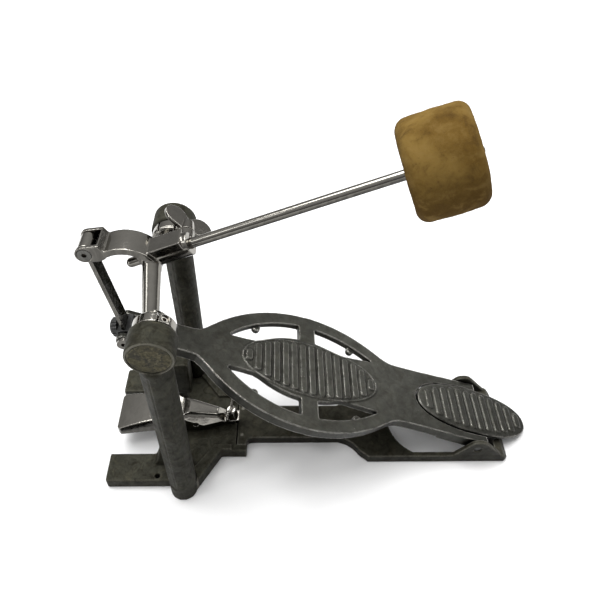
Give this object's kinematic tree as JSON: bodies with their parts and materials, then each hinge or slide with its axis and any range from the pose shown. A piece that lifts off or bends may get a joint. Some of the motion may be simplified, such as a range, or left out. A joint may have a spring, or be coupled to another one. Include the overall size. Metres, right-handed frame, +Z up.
{
  "type": "bass drum pedal",
  "caption": "Foot pedal that swings a felt beater: oval footboard, flat link, cranked rocker between two fluted posts, floor rail and hoop clamp.",
  "frame": {"origin": "on the floor, straight under the rocker axle, midway between the posts", "axes": "+X from the drum towards the player's heel, +Z up, player's left is -Y"},
  "size_m": [0.3266, 0.123, 0.2813],
  "materials": {
    "casting": "dull olive-grey casting, fine pitted skin, greasy in the corners, small bright nicks on the edges",
    "board": "old cast aluminium, matt blue-grey with dark dirt in the grooves and bright worn ribs and rims",
    "rail": "dull brown-grey casting with dirt, dust and rubbed edges",
    "chrome": "chrome plate gone warm, with small pits, haze and fine scratches",
    "cap": "tarnished olive-brown disc with a lighter worn rim",
    "steel": "plain zinc-plated steel, slightly stained",
    "black": "worn black enamel, semi-gloss",
    "felt": "hard felt, tan with brown mottling and dark stains, short fuzz"
  },
  "bodies": {
    "base": {"base_casting": "casting", "left_post": "casting", "right_post": "casting", "post_screws": "steel", "left_end_cap": "cap", "right_end_cap": "cap", "bearing_outer_rings": "steel", "left_spring": "steel", "right_spring": "steel", "heel_rail": "rail", "rail_screws": "steel", "heel_pin": "black", "clamp_pin": "steel"},
    "rocker": {"rocker": "chrome", "left_collar": "chrome", "right_collar": "chrome", "collar_screws": "chrome", "bearing_inner_rings": "steel", "bearing_balls": "steel", "left_cam_shaft": "steel", "right_cam_shaft": "steel", "link_pin": "steel"},
    "left_plunger": {"left_plunger": "steel"},
    "right_plunger": {"right_plunger": "steel"},
    "left_tension": {"left_tension_screw": "steel"},
    "right_tension": {"right_tension_screw": "steel"},
    "link": {"link": "chrome", "toe_block": "black", "toe_knob": "black"},
    "footboard": {"footboard": "board", "toe_pivot_screws": "chrome"},
    "heel_plate": {"heel_plate": "board", "heel_latch": "black"},
    "hoop_clamp": {"hoop_clamp": "chrome"},
    "clamp_screw": {"clamp_screw": "chrome"},
    "rod_screw": {"rod_wing_screw": "chrome"},
    "beater_rod": {"beater_rod": "chrome"},
    "beater": {"beater_head": "felt", "beater_washer": "steel", "beater_nut": "black"}
  },
  "joints": [
    {"name": "rocker_pivot", "type": "hinge", "parent": "base", "child": "rocker", "pos_m": [0, 0, 0.165], "axis": [0, -1, 0], "range_deg": [0, 65], "stiffness_Nm_per_rad": 1.6, "springref_deg": -20.05},
    {"name": "footboard_hinge", "type": "hinge", "parent": "base", "child": "footboard", "pos_m": [0.2215, 0, 0.0171], "axis": [0, -1, 0], "range_deg": [0, 12]},
    {"name": "link_pivot", "type": "hinge", "parent": "rocker", "child": "link", "pos_m": [-0.0394, 0, 0.1934], "axis": [0, -1, 0], "range_deg": [-73, 0]},
    {"name": "left_plunger_slide", "type": "slide", "parent": "base", "child": "left_plunger", "axis": [0, 0, -1], "range_m": [0, 0.004], "deforming": ["left_spring"]},
    {"name": "right_plunger_slide", "type": "slide", "parent": "base", "child": "right_plunger", "axis": [0, 0, -1], "range_m": [0, 0.004], "deforming": ["right_spring"]},
    {"name": "left_tension_turn", "type": "hinge", "parent": "base", "child": "left_tension", "pos_m": [0, -0.0518, 0.009], "axis": [0, 0, 1], "continuous": true},
    {"name": "right_tension_turn", "type": "hinge", "parent": "base", "child": "right_tension", "pos_m": [0, 0.0518, 0.009], "axis": [0, 0, 1], "continuous": true},
    {"name": "heel_plate_hinge", "type": "hinge", "parent": "footboard", "child": "heel_plate", "pos_m": [0.2215, 0, 0.0171], "axis": [0, -1, 0], "range_deg": [0, 22]},
    {"name": "hoop_clamp_pivot", "type": "hinge", "parent": "base", "child": "hoop_clamp", "pos_m": [0.006, 0, 0.02], "axis": [0, 1, 0], "range_deg": [0, 6]},
    {"name": "clamp_screw_turn", "type": "hinge", "parent": "base", "child": "clamp_screw", "pos_m": [0.033, 0, 0.02], "axis": [0, 0, 1], "continuous": true},
    {"name": "rod_screw_turn", "type": "hinge", "parent": "rocker", "child": "rod_screw", "pos_m": [0.01571, 0, 0.19381], "axis": [0, 1, 0], "continuous": true},
    {"name": "beater_slide", "type": "slide", "parent": "rocker", "child": "beater_rod", "axis": [0.9239, 0, 0.3827], "range_m": [-0.01, 0.015]},
    {"name": "beater_turn", "type": "hinge", "parent": "beater_rod", "child": "beater", "pos_m": [0.1529, 0, 0.25063], "axis": [0.9239, 0, 0.3827], "continuous": true}
  ],
  "couplings": [
    {"joint": "footboard_hinge", "follows": "rocker_pivot", "ratio": 0.17954},
    {"joint": "link_pivot", "follows": "rocker_pivot", "ratio": -1.1055},
    {"joint": "left_plunger_slide", "follows": "rocker_pivot", "m_per_rad": 0.003407},
    {"joint": "right_plunger_slide", "follows": "rocker_pivot", "m_per_rad": 0.003407}
  ]
}
